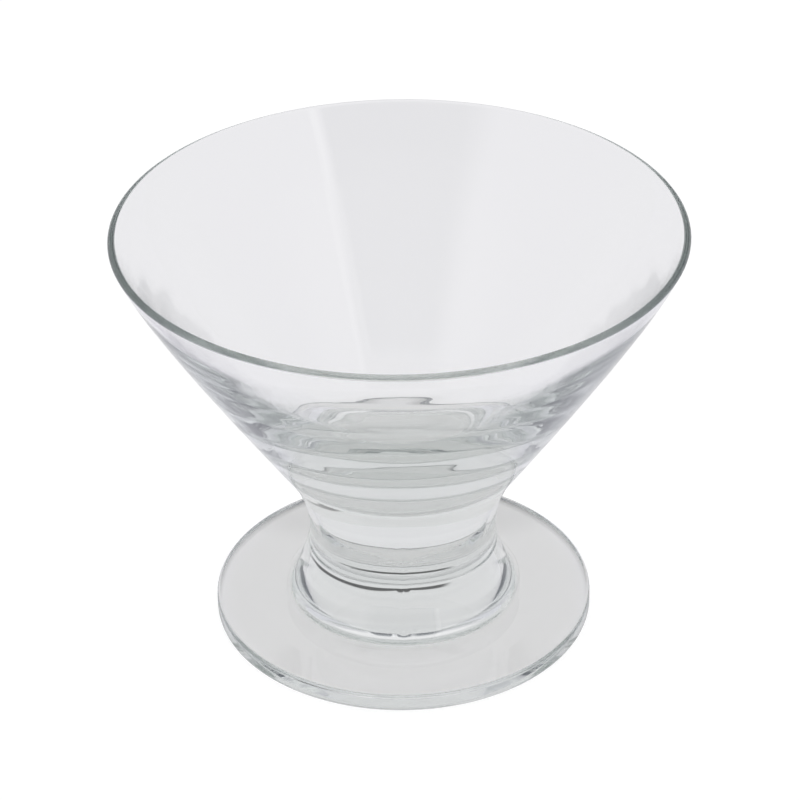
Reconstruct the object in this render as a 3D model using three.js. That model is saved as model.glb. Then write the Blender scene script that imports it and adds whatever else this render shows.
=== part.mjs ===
// An ice cream glass of clear pressed glass: a flaring bowl on a short, solid, waisted stem and a round
// foot. The three pieces are fused hot, so each meets the next on a flat round joint.
// Millimetres, +Z up. The table is z = 0 and the glass turns about the Z axis.

import * as THREE from 'three';

// Foot
const FOOT_DIAMETER = 76;
const FOOT_EDGE_THICKNESS = 3.8;
const FOOT_CROWN_RISE = 1.2; // how much the top climbs from the edge to the fillet
const FOOT_TOP_ROUND = 0.8;
const FOOT_BOTTOM_ROUND = 1;
const FILLET_DIAMETER = 48.6; // where the top turns up towards the stem
const FILLET_HEIGHT = 2.4; // from there up to the joint
const STANDING_RING_WIDTH = 8;
const PUSH_UP_DEPTH = 0.5; // hollow under the foot, inside the standing ring

// Stem
const STEM_HEIGHT = 11.2;
const STEM_BASE_DIAMETER = 43.6;
const STEM_WAIST_DIAMETER = 37.5;
const STEM_FLARE_HEIGHT = 7.6; // where the flare's end tangents cross, above the foot

// Bowl
const BOWL_HEIGHT = 67.8;
const RIM_DIAMETER = 110;
const LIP_ROUND = 0.5; // radius of the lip's two edges
const LIP_FLAT = 0.8; // between those two edges, on top
const WALL_BOW = 0.9; // how far the outside bows out from a straight cone
const INSIDE_BOW = 1.7; // the same for the inside
const BEND_BELOW_LIP = 13; // where the wall bends most, measured down the wall
const WALL_START_DIAMETER = 48;
const WALL_START_HEIGHT = 16.4; // above the joint with the stem
const FLOOR_THICKNESS = 16.3; // glass between the joint and the bottom of the inside
const FLOOR_WALL_THICKNESS = 5.75; // where the inside starts to turn from the wall into the floor
const FLOOR_ROUNDING = 10; // height over which it turns

// Facets
const TURN_STEPS = 72;
const CURVE_STEPS = 4;
const WALL_STEPS = 8;

// Heights of the two joints and of the rim
const crown = FOOT_EDGE_THICKNESS + FOOT_CROWN_RISE;
const footJoint = crown + FILLET_HEIGHT;
const bowlJoint = footJoint + STEM_HEIGHT;
const rimHeight = bowlJoint + BOWL_HEIGHT;

/** A closed profile of (radius, height) that is drawn piece by piece from a point on the axis. */
class Profile {
  constructor(radius, height) {
    this.points = [new THREE.Vector2(radius, height)];
  }

  line(radius, height) {
    this.points.push(new THREE.Vector2(radius, height));
    return this;
  }

  /** A parabola to an end point that leaves and arrives along the lines through the corner. */
  curve(corner, end, steps = CURVE_STEPS) {
    const start = this.points.at(-1);
    const parabola = new THREE.QuadraticBezierCurve(start, corner, end);
    this.points.push(...parabola.getPoints(steps).slice(1));
    return this;
  }

  /** An arc about a centre, from the last point, turned by an angle. */
  arc(centre, turn, steps = CURVE_STEPS) {
    const start = this.points.at(-1).clone();
    for (let i = 1; i <= steps; i += 1) {
      this.points.push(start.clone().rotateAround(centre, (turn * i) / steps));
    }
    return this;
  }

  /** The solid that the profile sweeps in a full turn about the Z axis. */
  solid() {
    return new THREE.LatheGeometry(this.points, TURN_STEPS).rotateX(Math.PI / 2);
  }
}

/** The foot: a disc with rounded edges, a hollow underside and a top that turns up to the stem. */
function footProfile() {
  const radius = FOOT_DIAMETER / 2;
  const ringInside = radius - FOOT_BOTTOM_ROUND - STANDING_RING_WIDTH;
  const seat = STEM_BASE_DIAMETER / 2;
  const edgeTop = new THREE.Vector2(radius, FOOT_EDGE_THICKNESS);
  const fillet = new THREE.Vector2(FILLET_DIAMETER / 2, crown);
  const slopeStart = edgeTop.clone().lerp(fillet, FOOT_TOP_ROUND / (radius - fillet.x));
  const flareLean = (seat - STEM_WAIST_DIAMETER / 2) / STEM_FLARE_HEIGHT;
  return new Profile(0, PUSH_UP_DEPTH)
    .curve(new THREE.Vector2(ringInside / 2, PUSH_UP_DEPTH), new THREE.Vector2(ringInside, 0))
    .line(radius - FOOT_BOTTOM_ROUND, 0)
    .arc(new THREE.Vector2(radius - FOOT_BOTTOM_ROUND, FOOT_BOTTOM_ROUND), Math.PI / 2)
    .line(radius, FOOT_EDGE_THICKNESS - FOOT_TOP_ROUND)
    .curve(edgeTop, slopeStart)
    .line(fillet.x, fillet.y)
    .curve(new THREE.Vector2(seat + flareLean * FILLET_HEIGHT, crown), new THREE.Vector2(seat, footJoint))
    .line(0, footJoint);
}

/** The stem: a solid spool that flares from its waist down onto the foot. */
function stemProfile() {
  const waist = STEM_WAIST_DIAMETER / 2;
  const flareCorner = new THREE.Vector2(waist, footJoint + STEM_FLARE_HEIGHT);
  return new Profile(0, footJoint)
    .line(STEM_BASE_DIAMETER / 2, footJoint)
    .curve(flareCorner, new THREE.Vector2(waist, bowlJoint), WALL_STEPS)
    .line(0, bowlJoint);
}

/** The bowl: a root that turns out of the stem, a bowed wall, a lip with round edges and a hollow. */
function bowlProfile() {
  const neck = STEM_WAIST_DIAMETER / 2;
  const floor = bowlJoint + FLOOR_THICKNESS;
  const outerEdge = new THREE.Vector2(RIM_DIAMETER / 2 - LIP_ROUND, rimHeight - LIP_ROUND);
  const innerEdge = new THREE.Vector2(outerEdge.x - LIP_FLAT, outerEdge.y);
  const wallStart = new THREE.Vector2(WALL_START_DIAMETER / 2, bowlJoint + WALL_START_HEIGHT);

  // The outside meets the lip's outer edge along the line from its bend.
  const bend = bowedCorner(wallStart, outerEdge, WALL_BOW);
  const lipAlong = outerEdge.clone().sub(bend).normalize();
  const across = outwardFrom(lipAlong).multiplyScalar(LIP_ROUND);
  const lipLean = Math.atan2(lipAlong.x, lipAlong.y);
  const outerTop = outerEdge.clone().add(across);
  const outerCorner = bend.clone().add(across);

  // The root leaves the neck upright and arrives along the wall.
  const wallLean = outerCorner.clone().sub(wallStart);
  const rootDrop = ((wallStart.x - neck) * wallLean.y) / wallLean.x;
  const rootCorner = new THREE.Vector2(neck, wallStart.y - rootDrop);

  // The inside leaves the lip's inner edge, and the wall thickens down to the floor.
  const innerTop = innerEdge.clone().sub(across);
  const rounding = floor + FLOOR_ROUNDING;
  const outerAtRounding = outerRadiusAt(rounding, wallStart, outerCorner, outerTop);
  const innerBottom = new THREE.Vector2(outerAtRounding - FLOOR_WALL_THICKNESS, rounding);
  const innerCorner = bowedCorner(innerBottom, innerTop, INSIDE_BOW);
  const innerLean = innerCorner.clone().sub(innerBottom);
  const floorCorner = new THREE.Vector2(innerBottom.x - (FLOOR_ROUNDING * innerLean.x) / innerLean.y, floor);

  return new Profile(0, bowlJoint)
    .line(neck, bowlJoint)
    .curve(rootCorner, wallStart, WALL_STEPS)
    .curve(outerCorner, outerTop, WALL_STEPS)
    .arc(outerEdge, Math.PI / 2 + lipLean)
    .line(innerEdge.x, rimHeight)
    .arc(innerEdge, Math.PI / 2 - lipLean)
    .curve(innerCorner, innerBottom, WALL_STEPS)
    .curve(floorCorner, new THREE.Vector2(0, floor), WALL_STEPS);
}

/** The direction that points outwards, square to a direction up the wall. */
function outwardFrom(along) {
  return new THREE.Vector2(along.y, -along.x);
}

/** The corner of a wall's parabola: down from its top to the bend, and out by twice the bow. */
function bowedCorner(low, top, bow) {
  const along = top.clone().sub(low).normalize();
  return top.clone().addScaledVector(along, -BEND_BELOW_LIP).addScaledVector(outwardFrom(along), 2 * bow);
}

/** The outer wall's radius at a height, along the parabola from its start to its top. */
function outerRadiusAt(height, start, corner, top) {
  const a = start.y - 2 * corner.y + top.y;
  const b = corner.y - start.y;
  const c = start.y - height;
  const t = -c / (b + Math.sqrt(b * b - a * c));
  return new THREE.QuadraticBezierCurve(start, corner, top).getPoint(t).x;
}

/** One named piece of clear glass. */
function piece(name, profile, color) {
  const glass = new THREE.MeshStandardMaterial({
    color,
    roughness: 0.05,
    metalness: 0,
    transparent: true,
    opacity: 0.35,
  });
  const mesh = new THREE.Mesh(profile.solid(), glass);
  mesh.name = name;
  return mesh;
}

const iceCreamGlass = new THREE.Group();
iceCreamGlass.add(
  piece('foot', footProfile(), 0xd8dcdb),
  piece('stem', stemProfile(), 0xdde1e1),
  piece('bowl', bowlProfile(), 0xe6e8e9),
);

export default iceCreamGlass;
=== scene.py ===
# %% [markdown]
# # A pressed ice cream glass
#
# The object is an empty ice cream glass: a flaring bowl, a short solid stem and a round foot, all of
# clear glass. A press drops a gob of hot glass into an iron mould, a plunger shapes the inside, and a
# flame then melts the rim and the seams smooth. The solids of the frame give the heights of the two
# fused joints and the widths of the pieces, so this lesson starts by reading them.

# %% Load the frame
import math

import bpy
import numpy as np
from mathutils import Matrix, Vector


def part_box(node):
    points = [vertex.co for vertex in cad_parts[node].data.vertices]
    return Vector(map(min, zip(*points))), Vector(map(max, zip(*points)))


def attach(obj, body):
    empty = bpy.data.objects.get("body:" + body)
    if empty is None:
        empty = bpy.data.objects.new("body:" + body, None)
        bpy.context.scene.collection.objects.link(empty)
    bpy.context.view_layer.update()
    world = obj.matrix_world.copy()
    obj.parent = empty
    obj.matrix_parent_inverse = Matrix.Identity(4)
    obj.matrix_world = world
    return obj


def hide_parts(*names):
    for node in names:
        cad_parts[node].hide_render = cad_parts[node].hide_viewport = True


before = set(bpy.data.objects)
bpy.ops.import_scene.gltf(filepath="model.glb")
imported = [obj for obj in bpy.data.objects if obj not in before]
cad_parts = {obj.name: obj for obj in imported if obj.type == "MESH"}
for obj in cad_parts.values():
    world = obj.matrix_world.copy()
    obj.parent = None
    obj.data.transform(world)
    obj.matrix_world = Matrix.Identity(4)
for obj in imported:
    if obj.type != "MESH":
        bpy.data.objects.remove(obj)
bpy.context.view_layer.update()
MM = 0.001  # metres in a millimetre: shapes are worked out in millimetres

FOOT_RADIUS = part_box("foot")[1].x / MM
SEAT_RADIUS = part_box("stem")[1].x / MM
RIM_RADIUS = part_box("bowl")[1].x / MM
FOOT_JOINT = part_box("stem")[0].z / MM
BOWL_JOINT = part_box("bowl")[0].z / MM
RIM_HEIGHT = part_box("bowl")[1].z / MM
print(f"joints at {FOOT_JOINT:.1f} and {BOWL_JOINT:.1f} mm, rim {2 * RIM_RADIUS:.1f} mm across")

# %% [markdown]
# ## Drawing a profile
#
# Every piece is round, so its shape is one outline in the plane of radius and height, carried once
# round the axis. The outline is a chain of lines, arcs and parabolas. A parabola that leaves and
# arrives along two tangents needs only three points, which suits glass: it flows, and has few corners.

# %% Lines, arcs and parabolas
CURVE_STEPS = 24
WALL_STEPS = 48


def point(radius, height):
    """A point of an outline, in millimetres."""
    return np.array([radius, height], float)


def line(start, end, steps=1):
    """start + t (end - start), for t from 0 to 1."""
    t = np.linspace(0, 1, steps + 1)[:, None]
    return start + t * (end - start)


def parabola(start, corner, end, steps=CURVE_STEPS):
    """(1-t)^2 start + 2t(1-t) corner + t^2 end: it leaves and arrives along lines through the corner."""
    t = np.linspace(0, 1, steps + 1)[:, None]
    return (1 - t) ** 2 * start + 2 * t * (1 - t) * corner + t**2 * end


def arc(centre, start, turn, steps=CURVE_STEPS):
    """The start turned about the centre, by angles from 0 to turn."""
    angle = np.linspace(0, turn, steps + 1)[:, None]
    x, y = start - centre
    return centre + np.hstack([x * np.cos(angle) - y * np.sin(angle), x * np.sin(angle) + y * np.cos(angle)])


def chain(*stretches):
    """Stretches end to end, each without its first point, which the one before already has."""
    return np.vstack([stretches[0], *[s[1:] for s in stretches[1:]]])


sample = parabola(point(0, 0), point(1, 0), point(1, 1))
miss = np.linalg.norm(sample - point(1, 0), axis=1).min()
print(f"a parabola round a square corner of 1 mm passes it at {miss:.2f} mm")

# %% [markdown]
# ## What a press leaves behind
#
# A perfect turned shape looks like plastic. Pressed glass chills against the iron, so its skin is
# slightly uneven, and the two halves of the mould leave a fine ridge at the front and the back, which
# the flame softens. The waves only ever dip inwards, so the glass keeps its size, and they die out at
# the joints, where two pieces have to meet.

# %% Uneven skin and mould seams
COLUMNS = 240
CROWDING = 0.35  # draws the columns together at the seams, where the ridge is narrow
even_turn = np.arange(COLUMNS) * 2 * np.pi / COLUMNS
angles = even_turn + CROWDING * np.sin(2 * even_turn)

WAVE_DEPTH = 0.05
WAVES = ((2, 29.0, 0.4), (3, 16.0, 2.3), (5, 10.0, 4.1), (4, 6.5, 5.3))  # times round, length along, start
CALM_REACH = 5.0  # how far from a joint or the axis the waves die out
SEAM_HEIGHT = 0.16
SEAM_WIDTH = 0.8
SEAM_START, SEAM_FULL = 6.0, 8.0  # heights at which the ridge rises out of the foot's fillet
SEAM_FADE, SEAM_END = 22.0, 34.0  # and at which the flame has melted it away on the bowl


def smooth(value, start, end):
    """3t^2 - 2t^3, where t runs from 0 at the start to 1 at the end and is held beyond them."""
    t = np.clip((value - start) / (end - start), 0, 1)
    return t * t * (3 - 2 * t)


def uneven(along, radius, height):
    """-depth (1 + mean of cos(times angle + 2 pi along / length + start)) / 2, plus a bell at each seam."""
    waves = [np.cos(n * angles + 2 * np.pi * along / length + start) for n, length, start in WAVES]
    dip = WAVE_DEPTH * (1 + np.mean(waves, axis=0)) / 2
    from_joint = np.minimum(abs(height - FOOT_JOINT), abs(height - BOWL_JOINT))
    calm = smooth(from_joint, 0, CALM_REACH) * smooth(radius, 0, CALM_REACH)
    seam_part = smooth(height, SEAM_START, SEAM_FULL) * smooth(height, SEAM_END, SEAM_FADE)
    seam = SEAM_HEIGHT * np.exp(-((radius * np.cos(angles) / SEAM_WIDTH) ** 2)) * seam_part
    return seam - calm * dip


apart = np.degrees(np.diff(angles))
print(f"columns {apart.min():.2f} to {apart.max():.2f} degrees apart")

# %% [markdown]
# ## Turning the outline into a closed mesh
#
# Spin or a Screw modifier could sweep the outline. Here the surface is a function of two parameters,
# the place along the outline and the angle round the axis, so the whole grid is one array and the
# uneven skin is simply added to it. The outline starts and ends on the axis, where a single point
# closes the mesh.

# %% Turned solids
SHARPEST_BEND = 12  # degrees between two faces that still shade as one smooth surface


def turned(name, outline, is_joint):
    """A closed mesh: (r cos a, r sin a, z) for each outline point and each angle a, with a pole at each end.

    is_joint says of each stretch between two outline points whether it lies on a fused joint."""
    rings = outline[1:-1]
    steps = np.linalg.norm(np.diff(outline, axis=0), axis=1)
    along = np.cumsum(steps)[:-1, None]
    radius, height = rings[:, :1], rings[:, 1:]
    radius = radius + uneven(along, radius, height)
    grid = np.stack([radius * np.cos(angles), radius * np.sin(angles), height + 0 * angles], axis=-1)
    poles = [[0, 0, outline[0, 1]], [0, 0, outline[-1, 1]]]
    verts = np.vstack([grid.reshape(-1, 3), poles]) * MM

    index = np.arange(len(rings) * COLUMNS).reshape(len(rings), COLUMNS)
    beside = np.roll(index, -1, axis=1)
    quads = np.stack([index[:-1], beside[:-1], beside[1:], index[1:]], axis=-1).reshape(-1, 4)
    first_pole, last_pole = len(verts) - 2, len(verts) - 1
    first_fan = np.stack([np.full(COLUMNS, first_pole), beside[0], index[0]], axis=-1)
    last_fan = np.stack([index[-1], beside[-1], np.full(COLUMNS, last_pole)], axis=-1)

    mesh = bpy.data.meshes.new(name)
    mesh.from_pydata(verts, [], first_fan.tolist() + quads.tolist() + last_fan.tolist())
    joint = mesh.attributes.new("joint", "FLOAT", "FACE")
    joint.data.foreach_set("value", np.repeat(np.asarray(is_joint, np.float32), COLUMNS))
    mesh.shade_smooth()
    mesh.set_sharp_from_angle(angle=math.radians(SHARPEST_BEND))
    piece = bpy.data.objects.new(name, mesh)
    bpy.context.scene.collection.objects.link(piece)
    print(f"{name}: {len(mesh.vertices)} vertices, {len(mesh.polygons)} faces")
    return piece


print(f"each point of an outline becomes a ring of {COLUMNS} points")

# %% [markdown]
# ## The foot
#
# The foot is a disc with a soft edge. Its top climbs a little and turns up into the stem, and
# underneath only a ring touches the table, because a shallow hollow keeps the glass from rocking.

# %% Foot
FOOT_EDGE = 3.8  # height of the outer edge
FOOT_TOP_ROUND = 0.8
FOOT_BOTTOM_ROUND = 1.0
CROWN = point(24.3, 5.0)  # where the top stops climbing and turns up into the stem
FLARE_LEAN = 0.4  # how fast the stem widens where it meets the foot
STANDING_RING = 8.0  # width of the ring that touches the table
PUSH_UP = 0.5  # depth of the hollow inside it


def foot_outline():
    """From the hollow's centre, out under the ring, round the edge, and in along the top to the joint."""
    ring_inside = FOOT_RADIUS - FOOT_BOTTOM_ROUND - STANDING_RING
    hollow = parabola(point(0, PUSH_UP), point(ring_inside / 2, PUSH_UP), point(ring_inside, 0))
    ring_edge = point(FOOT_RADIUS - FOOT_BOTTOM_ROUND, 0)
    lower = arc(ring_edge + point(0, FOOT_BOTTOM_ROUND), ring_edge, math.pi / 2)
    corner = point(FOOT_RADIUS, FOOT_EDGE)
    side_top = corner - point(0, FOOT_TOP_ROUND)
    slope_start = corner + (CROWN - corner) * FOOT_TOP_ROUND / (FOOT_RADIUS - CROWN[0])
    seat = point(SEAT_RADIUS, FOOT_JOINT)
    fillet_corner = point(SEAT_RADIUS + FLARE_LEAN * (FOOT_JOINT - CROWN[1]), CROWN[1])
    return chain(
        hollow,
        line(hollow[-1], ring_edge, CURVE_STEPS),
        lower,
        line(lower[-1], side_top),
        parabola(side_top, corner, slope_start),
        line(slope_start, CROWN, CURVE_STEPS),
        parabola(CROWN, fillet_corner, seat),
    )


outside = foot_outline()
joint = line(outside[-1], point(0, FOOT_JOINT))
foot = turned("glass_foot", chain(outside, joint), [0] * (len(outside) - 1) + [1])

# %% [markdown]
# ## The stem
#
# The stem is solid: a spool that is upright at its waist and flares down onto the foot.

# %% Stem
WAIST_RADIUS = 18.75
JOINT_GAP = 0.01  # far too thin to see, but two faces in one place would catch a ray between them


def stem_outline():
    """Up the flare from the foot's joint to the waist, which arrives upright at the bowl's joint."""
    low = point(SEAT_RADIUS, FOOT_JOINT + JOINT_GAP)
    top = point(WAIST_RADIUS, BOWL_JOINT - JOINT_GAP)
    return parabola(low, point(WAIST_RADIUS, low[1] + (low[0] - top[0]) / FLARE_LEAN), top, WALL_STEPS)


outside = stem_outline()
low_joint = line(point(0, outside[0, 1]), outside[0])
top_joint = line(outside[-1], point(0, outside[-1, 1]))
stem = turned("glass_stem", chain(low_joint, outside, top_joint), [1] + [0] * (len(outside) - 1) + [1])

# %% [markdown]
# ## A bowed wall
#
# The wall of the bowl is nearly a cone, but it bows outwards a little and bends most below the lip. One
# parabola gives both: its corner says where it bends, and how far out the corner lies says by how much.

# %% Bowed walls
BEND_BELOW_LIP = 13.0  # where the wall bends most, down the wall


def outward(along):
    """The direction square to the wall, away from the axis."""
    return np.array([along[1], -along[0]]) / np.linalg.norm(along)


def bowed_corner(low, high, bow):
    """The corner of a wall's parabola: down from its top to the bend, and out by twice the bow."""
    along = (high - low) / np.linalg.norm(high - low)
    return high - BEND_BELOW_LIP * along + 2 * bow * outward(along)


corner = bowed_corner(point(0, 0), point(0, 50), 1.0)
print(f"an upright wall of 50 mm that bows by 1 mm has its corner at {corner[0]:.0f}, {corner[1]:.0f} mm")

# %% [markdown]
# ## The bowl
#
# The bowl's root turns out of the stem, the wall bows outwards a little on its way up, and the lip is
# round where the flame has melted the edge. Inside, the wall thickens down to a rounded floor, so the
# lower part of the bowl is a thick lens, and most of what there is to see happens in it.

# %% Bowl
LIP_ROUND = 0.7
LIP_FLAT = 0.1
WALL_BOW = 0.9  # how far the outside bows out from a straight cone
INSIDE_BOW = 1.7
WALL_START = point(24.0, BOWL_JOINT + 16.4)  # where the root ends on the outside
FLOOR = BOWL_JOINT + 16.3
FLOOR_WALL = 5.75  # thickness of the wall where the inside turns into the floor
FLOOR_ROUNDING = 10.0  # height over which it turns


def bowl_outline():
    """Up the root and the wall from the joint, over the lip, and down the inside to the floor."""
    outer_round = point(RIM_RADIUS - LIP_ROUND, RIM_HEIGHT - LIP_ROUND)
    inner_round = outer_round - point(LIP_FLAT, 0)
    bend = bowed_corner(WALL_START, outer_round, WALL_BOW)
    along = outer_round - bend
    across = LIP_ROUND * outward(along)
    lean = math.atan2(along[0], along[1])
    wall = parabola(WALL_START, bend + across, outer_round + across, WALL_STEPS)
    outer_edge = arc(outer_round, outer_round + across, math.pi / 2 + lean)
    inner_edge = arc(inner_round, inner_round + point(0, LIP_ROUND), math.pi / 2 - lean)

    slope = bend + across - WALL_START
    root_drop = (WALL_START[0] - WAIST_RADIUS) * slope[1] / slope[0]
    neck = point(WAIST_RADIUS, BOWL_JOINT)
    root = parabola(neck, point(WAIST_RADIUS, WALL_START[1] - root_drop), WALL_START)

    turn_height = FLOOR + FLOOR_ROUNDING
    turn = point(np.interp(turn_height, wall[:, 1], wall[:, 0]) - FLOOR_WALL, turn_height)
    inner_bend = bowed_corner(turn, inner_edge[-1], INSIDE_BOW)
    slope = inner_bend - turn
    floor_corner = point(turn[0] - FLOOR_ROUNDING * slope[0] / slope[1], FLOOR)
    return chain(
        root,
        wall,
        outer_edge,
        line(outer_edge[-1], inner_edge[0]),
        inner_edge,
        parabola(inner_edge[-1], inner_bend, turn, WALL_STEPS),
        parabola(turn, floor_corner, point(0, FLOOR), WALL_STEPS),
    )


outside = bowl_outline()
joint = line(point(0, BOWL_JOINT), outside[0])
bowl = turned("glass_bowl", chain(joint, outside), [1] + [0] * (len(outside) - 1))

# %% [markdown]
# ## Colours and nodes
#
# Colours are written as sRGB hex values, as a paint program gives them, but a shader works in linear
# light, so one function turns them. Another adds a node with its settings and links, which keeps a
# material readable as a list of what feeds what.

# %% Helpers for materials
def linear(hex_colour):
    """sRGB hex to linear light: c / 12.92 when dark, else ((c + 0.055) / 1.055) ^ 2.4."""
    c = np.array([int(hex_colour[i : i + 2], 16) for i in (1, 3, 5)]) / 255
    return (*np.where(c <= 0.04045, c / 12.92, ((c + 0.055) / 1.055) ** 2.4), 1.0)


def node(tree, kind, inputs=None, **settings):
    """Adds a node to the tree, sets its settings, and sets or links its inputs."""
    made = tree.nodes.new(kind)
    for name, value in settings.items():
        setattr(made, name, value)
    for name, value in (inputs or {}).items():
        if isinstance(value, bpy.types.NodeSocket):
            tree.links.new(value, made.inputs[name])
        else:
            made.inputs[name].default_value = value
    return made


def new_material(name):
    """A material with no nodes yet, and its tree."""
    material = bpy.data.materials.new(name)
    material.use_nodes = True
    material.node_tree.nodes.clear()
    return material, material.node_tree


print(f"mid grey #808080 is {linear('#808080')[0]:.3f} in linear light")

# %% [markdown]
# ## Clear pressed glass
#
# Soda-lime glass bends light by 1.52, and a trace of iron dims it by about 0.3 % in each millimetre,
# green least. The three pieces are one body of glass on the real object, so light must cross a fused
# joint without bending: there the index is 1, which makes the faces of the joint vanish. The skin has a
# faint orange-peel from the mould, and the flame has not polished it equally everywhere.

# %% Glass
GLASS_TINT = "#dde2e0"
TINT_DENSITY = 12.0  # per metre, for a tint of black
GLASS_INDEX = 1.52
PEEL_SIZE = 6.0 * MM  # from one dimple to the next
PEEL_DEPTH = 0.004 * MM
PEEL_DETAIL = 1.0  # finer octaves of noise
POLISH_SIZE = 22.0 * MM  # across a patch that the flame has polished less
POLISH_DETAIL = 2.0
DULL_FROM, DULL_FULL = 0.45, 0.75  # of the noise, which runs from 0 to 1
DULLEST = 0.012  # roughness of the least polished patches

# To the eye: no colour but a grey-green where it is thick, and clear, slightly wavering lines.
glass, tree = new_material("pressed_soda_lime_glass")
place = node(tree, "ShaderNodeTexCoord").outputs["Object"]
joint = node(tree, "ShaderNodeAttribute", attribute_name="joint").outputs["Fac"]
index = node(tree, "ShaderNodeMapRange", {"Value": joint, "To Min": GLASS_INDEX, "To Max": 1.0})
peel = node(tree, "ShaderNodeTexNoise", {"Vector": place, "Scale": 1 / PEEL_SIZE, "Detail": PEEL_DETAIL})
skin = node(tree, "ShaderNodeBump", {"Height": peel.outputs["Fac"], "Strength": 1.0, "Distance": PEEL_DEPTH})
patches = {"Vector": place, "Scale": 1 / POLISH_SIZE, "Detail": POLISH_DETAIL}
polish = node(tree, "ShaderNodeTexNoise", patches).outputs["Fac"]
limits = {"Value": polish, "From Min": DULL_FROM, "From Max": DULL_FULL, "To Max": DULLEST}
dull = node(tree, "ShaderNodeMapRange", limits)
shader = node(
    tree,
    "ShaderNodeBsdfPrincipled",
    {
        "Base Color": linear("#ffffff"),
        "Roughness": dull.outputs[0],
        "IOR": index.outputs[0],
        "Transmission Weight": 1.0,
        "Normal": skin.outputs[0],
    },
)
depth = node(tree, "ShaderNodeVolumeAbsorption", {"Color": linear(GLASS_TINT), "Density": TINT_DENSITY})
node(tree, "ShaderNodeOutputMaterial", {"Surface": shader.outputs[0], "Volume": depth.outputs[0]})
dimming = TINT_DENSITY * (1 - np.array(linear(GLASS_TINT)[:3]))
print(f"the glass dims red, green and blue by {dimming.round(1)} per metre")

# %% [markdown]
# ## Into the frame
#
# Each mesh takes the place of its solid, moves with it, and wears the glass.

# %% Dress the pieces
for piece, name in ((foot, "foot"), (stem, "stem"), (bowl, "bowl")):
    piece.data.materials.append(glass)
    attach(piece, "root")
    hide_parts(name)
    print(f"{piece.name} replaces {name}")

# %% [markdown]
# ## Table and studio
#
# Clear glass has no colour of its own to show: every tone on it is some part of the room, bent or
# mirrored. So the room is the picture. The glass stands on a wide sheet of paper, a hair below the
# standing ring so that no two faces lie in one place.

# %% Floor
FLOOR_HALF = 3.0  # metres from the middle to a side
FLOOR_GAP = 0.2 * MM

mesh = bpy.data.meshes.new("floor")
corners = np.array([[-1, -1, 0], [1, -1, 0], [1, 1, 0], [-1, 1, 0]]) * FLOOR_HALF - [0, 0, FLOOR_GAP]
mesh.from_pydata(corners, [], [[0, 1, 2, 3]])
floor = bpy.data.objects.new("floor", mesh)
bpy.context.scene.collection.objects.link(floor)
print(f"the paper is {2 * FLOOR_HALF:.0f} m wide")

# %% [markdown]
# ## Tones with soft edges
#
# The paper and the room are both a ground tone with other tones laid over parts of it, as a painter lays a
# wash. Colour ramps could do this, but an edge is easier to place when it says at which length or angle
# it starts and where it is full, so each edge is a smooth step of its own.

# %% Soft-edged tones
def toned(tree, ground, tone, *edges):
    """ground + share (tone - ground), where share is the product of a smooth step across each edge.

    An edge is a value, the place where its step starts and the place where it is full, higher or lower."""
    share = 1.0
    for value, start, full in edges:
        step = {"Value": value, "From Min": start, "From Max": full, "To Max": share}
        share = node(tree, "ShaderNodeMapRange", step, interpolation_type="SMOOTHSTEP").outputs[0]
    return node(tree, "ShaderNodeMix", {0: share, 6: ground, 7: tone}, data_type="RGBA").outputs[2]


halfway = smooth(0.5, 0, 1)
print(f"halfway across one edge a tone has a share of {halfway:.2f}, and across two {halfway**2:.2f}")

# %% [markdown]
# ## White paper
#
# Paper is matt, so it has no gloss. Its tones from place to place are painted shade, for the glass to see:
# a painted shadow of the glass under the foot, a painted contact shadow darkest in a ring where the foot's
# edge comes down to it, bluish painted shade at the sides and painted shade on the side of the camera.
# The photograph's ground was cleared to plain white after the shot, so the camera sees the paper whiter
# than the glass does. Both are done with a glow that is added to what the paper scatters.

# %% Paper
PAPER_GREY = "#959595"
PAPER_ROUGHNESS = 0.9
CLEARED_GLOW = "#e7e7e7"  # for the camera
PAPER_GLOW = "#ccccce"  # for the glass, as are all below
# painted bluish shade on the paper at the sides, for the glass to see
SIDE_SHADE_GLOW = "#cccbd3"
SIDE_SHADE_FROM, SIDE_SHADE_FULL = 0.6, 0.95  # sine of the angle away from straight behind or in front
# painted shadow of the glass on the paper under the foot
SHADE_GLOW = "#b5b5b5"
SHADE_FULL, SHADE_END = 33 * MM, 46 * MM  # distances from the axis
# painted contact shadow: a dark ring on the paper where the foot's edge comes down to it
CONTACT_SHADOW_GLOW = "#868686"
CONTACT_SHADOW_RADIUS, CONTACT_SHADOW_HALF = 38 * MM, 1.6 * MM  # the ring's radius and half its width
# painted shade on the paper on the camera's side, for the glass to see
FRONT_SHADE_GLOW = "#aaaaac"
FRONT_SHADE_FROM, FRONT_SHADE_FULL = -120 * MM, -170 * MM

# To the eye: one even tone from every side, with no gloss.
paper, tree = new_material("matt_white_paper")
place = node(tree, "ShaderNodeTexCoord").outputs["Object"]
forward = node(tree, "ShaderNodeSeparateXYZ", {0: place}).outputs["Y"]
distance = node(tree, "ShaderNodeVectorMath", {0: place}, operation="LENGTH").outputs["Value"]
way = node(tree, "ShaderNodeVectorMath", {0: place}, operation="NORMALIZE").outputs["Vector"]
sideways = node(tree, "ShaderNodeSeparateXYZ", {0: way}).outputs["X"]
seen = node(tree, "ShaderNodeLightPath").outputs["Is Camera Ray"]
# painted bluish shade at both sides of the paper
glow = toned(tree, linear(PAPER_GLOW), linear(SIDE_SHADE_GLOW), (sideways, SIDE_SHADE_FROM, SIDE_SHADE_FULL))
glow = toned(tree, glow, linear(SIDE_SHADE_GLOW), (sideways, -SIDE_SHADE_FROM, -SIDE_SHADE_FULL))
# painted shadow of the glass under the foot
glow = toned(tree, glow, linear(SHADE_GLOW), (distance, SHADE_END, SHADE_FULL))
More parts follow.
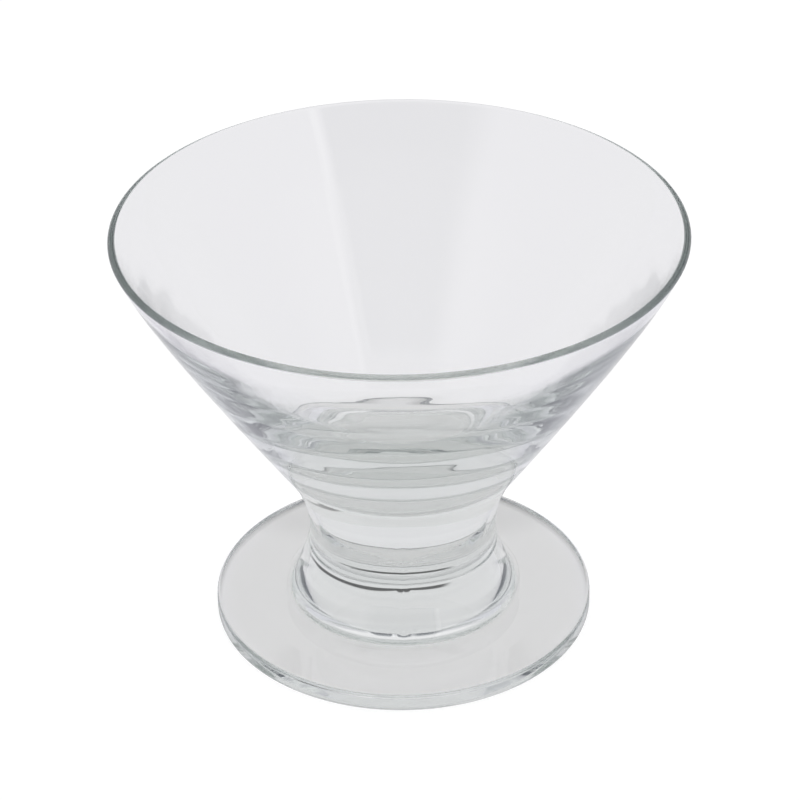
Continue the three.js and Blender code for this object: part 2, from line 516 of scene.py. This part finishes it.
# a painted contact shadow in a ring round the foot's edge
inside_contact_shadow = (distance, CONTACT_SHADOW_RADIUS - CONTACT_SHADOW_HALF, CONTACT_SHADOW_RADIUS)
outside_contact_shadow = (distance, CONTACT_SHADOW_RADIUS + CONTACT_SHADOW_HALF, CONTACT_SHADOW_RADIUS)
glow = toned(tree, glow, linear(CONTACT_SHADOW_GLOW), inside_contact_shadow, outside_contact_shadow)
# painted shade on the paper in front of the glass
glow = toned(tree, glow, linear(FRONT_SHADE_GLOW), (forward, FRONT_SHADE_FROM, FRONT_SHADE_FULL))
glow = toned(tree, glow, linear(CLEARED_GLOW), (seen, 0.0, 1.0))
shader = node(
    tree,
    "ShaderNodeBsdfPrincipled",
    {
        "Base Color": linear(PAPER_GREY),
        "Roughness": PAPER_ROUGHNESS,
        "Specular IOR Level": 0.0,
        "Emission Color": glow,
        "Emission Strength": 1.0,
    },
)
node(tree, "ShaderNodeOutputMaterial", {"Surface": shader.outputs[0]})
paper.cycles.emission_sampling = "NONE"  # its even glow needs no rays of its own
mesh.materials.append(paper)
print(f"the paper's material has {len(tree.nodes)} nodes")

# %% [markdown]
# ## Light from all round
#
# An area lamp here and there would give hard glints, so all the light comes from the world: a soft room
# that is brightest overhead and a little dimmer behind the glass. The colours are shares of ROOM_STRENGTH,
# which leaves room above plain white.

# %% Room
ROOM_STRENGTH = 1.12
BACK_LIGHT = "#dbdbdc"
BACK_FROM, BACK_FULL = -0.1, 0.5  # how far towards the back a direction points
SIDE_LIGHT = "#d4d2d8"
CEILING_LIGHT = "#f7f5f7"


def height(degrees):
    """How far up a direction points that rises by an angle: its sine."""
    return math.sin(math.radians(degrees))


CEILING_FROM, CEILING_FULL = height(30), height(44)

world = bpy.data.worlds.new("studio")
world.use_nodes = True
tree = world.node_tree
tree.nodes.clear()
way = node(tree, "ShaderNodeTexCoord").outputs["Generated"]
x, y, z = node(tree, "ShaderNodeSeparateXYZ", {0: way}).outputs
overhead = (z, CEILING_FROM, CEILING_FULL)
light = toned(tree, linear(SIDE_LIGHT), linear(CEILING_LIGHT), overhead)
light = toned(tree, light, linear(BACK_LIGHT), (y, BACK_FROM, BACK_FULL))
bpy.context.scene.world = world
print(f"the ceiling starts {math.degrees(math.asin(CEILING_FROM)):.0f} degrees up")

# %% [markdown]
# ## A dark gap behind the glass
#
# A room that is white all round would leave the glass without edges. Above the backdrop, to the right,
# there is a dark gap, which the stem gathers into thin dark arcs.

# %% Gap
GAP_LIGHT = "#545454"
GAP_LOW, GAP_HIGH, GAP_BLUR = height(19.5), height(28), 0.02
GAP_LEFT, GAP_LEFT_FULL = math.radians(-20), math.radians(-14)  # from straight behind
GAP_RIGHT, GAP_RIGHT_FULL = math.radians(60), math.radians(43)

from_back = node(tree, "ShaderNodeMath", {0: x, 1: y}, operation="ARCTAN2").outputs[0]
gap = [
    (from_back, GAP_LEFT, GAP_LEFT_FULL),
    (from_back, GAP_RIGHT, GAP_RIGHT_FULL),
    (z, GAP_LOW - GAP_BLUR, GAP_LOW + GAP_BLUR),
    (z, GAP_HIGH + GAP_BLUR, GAP_HIGH - GAP_BLUR),
]
light = toned(tree, light, linear(GAP_LIGHT), *gap)
print(f"the gap is {math.degrees(GAP_RIGHT - GAP_LEFT):.0f} degrees wide")

# %% [markdown]
# ## An unlit end and a lamp
#
# Behind the camera the room is unlit, so the sides of the lip, which collect light from there, turn dark.
# A narrow lamp at the edge of that unlit end draws the pale streak down the bowl's far wall.

# %% Unlit end and lamp
UNLIT_LIGHT = "#545860"
UNLIT_OVERHEAD = "#a1a3a8"
UNLIT_LEFT, UNLIT_LEFT_FULL = math.radians(-45), math.radians(-25)  # from straight in front
UNLIT_RIGHT, UNLIT_RIGHT_FULL = math.radians(33), math.radians(30)
UNLIT_TOP, UNLIT_BLUR = height(52), 0.1
LAMP_LIGHT = "#fdfdff"
LAMP_LEFT, LAMP_LEFT_FULL = math.radians(33), math.radians(34)
LAMP_RIGHT, LAMP_RIGHT_FULL = math.radians(37), math.radians(36)

towards_front = node(tree, "ShaderNodeMath", {0: y, 1: -1.0}, operation="MULTIPLY").outputs[0]
from_front = node(tree, "ShaderNodeMath", {0: x, 1: towards_front}, operation="ARCTAN2").outputs[0]
below_top = (z, UNLIT_TOP + UNLIT_BLUR, UNLIT_TOP - UNLIT_BLUR)
unlit = [(from_front, UNLIT_LEFT, UNLIT_LEFT_FULL), (from_front, UNLIT_RIGHT, UNLIT_RIGHT_FULL), below_top]
dim = toned(tree, linear(UNLIT_LIGHT), linear(UNLIT_OVERHEAD), overhead)
light = toned(tree, light, dim, *unlit)
lamp = [(from_front, LAMP_LEFT, LAMP_LEFT_FULL), (from_front, LAMP_RIGHT, LAMP_RIGHT_FULL), below_top]
light = toned(tree, light, linear(LAMP_LIGHT), *lamp)
print(f"the unlit end is {math.degrees(UNLIT_RIGHT - UNLIT_LEFT):.0f} degrees wide")

# %% [markdown]
# ## A plain ground for the picture
#
# The camera itself looks past the glass at plain white, as in the photograph, so its own rays get that
# and only the rays that have met the glass see the room.

# %% What the camera sees of the room
CLEARED_ROOM = "#f3f3f3"

seen = node(tree, "ShaderNodeLightPath").outputs["Is Camera Ray"]
light = toned(tree, light, linear(CLEARED_ROOM), (seen, 0.0, 1.0))
room = node(tree, "ShaderNodeBackground", {"Color": light, "Strength": ROOM_STRENGTH})
node(tree, "ShaderNodeOutputWorld", {"Surface": room.outputs[0]})
print(f"the room's light has {len(tree.nodes)} nodes")

# %% [markdown]
# ## Camera
#
# The camera looks down at the glass by about 32 degrees, from a little over half a metre. Where it
# stands, where it aims and how long its lens is were fitted to the glass's outline in the photograph.
# Light runs a long way inside clear glass, so the picture also needs many bounces.

# %% Camera
EYE = Vector((0, -467.2, 338.8)) * MM
AIM = Vector((-0.24, 0, 47.58)) * MM
LENS, SENSOR = 126.36, 36.0  # mm, as a photographer gives them
ROLL = 0.0125  # radians
BOUNCES = 128

ahead = (AIM - EYE).normalized()
level = ahead.cross(Vector((0, 0, 1))).normalized()
up = level.cross(ahead)
right = level * math.cos(ROLL) - up * math.sin(ROLL)
up = up * math.cos(ROLL) + level * math.sin(ROLL)
camera = bpy.data.objects.new("camera", bpy.data.cameras.new("camera"))
camera.data.lens = LENS
camera.data.sensor_width = SENSOR
camera.matrix_world = Matrix.Translation(EYE) @ Matrix((right, up, -ahead)).transposed().to_4x4()
scene = bpy.context.scene
scene.collection.objects.link(camera)
scene.camera = camera
scene.view_settings.view_transform = "Standard"
scene.cycles.max_bounces = BOUNCES
scene.cycles.transmission_bounces = BOUNCES
scene.cycles.glossy_bounces = BOUNCES
scene.cycles.blur_glossy = 0.0
print(f"the camera stands {(AIM - EYE).length / MM:.0f} mm from the glass and looks down by "
      f"{math.degrees(math.asin(-ahead.z)):.1f} degrees")
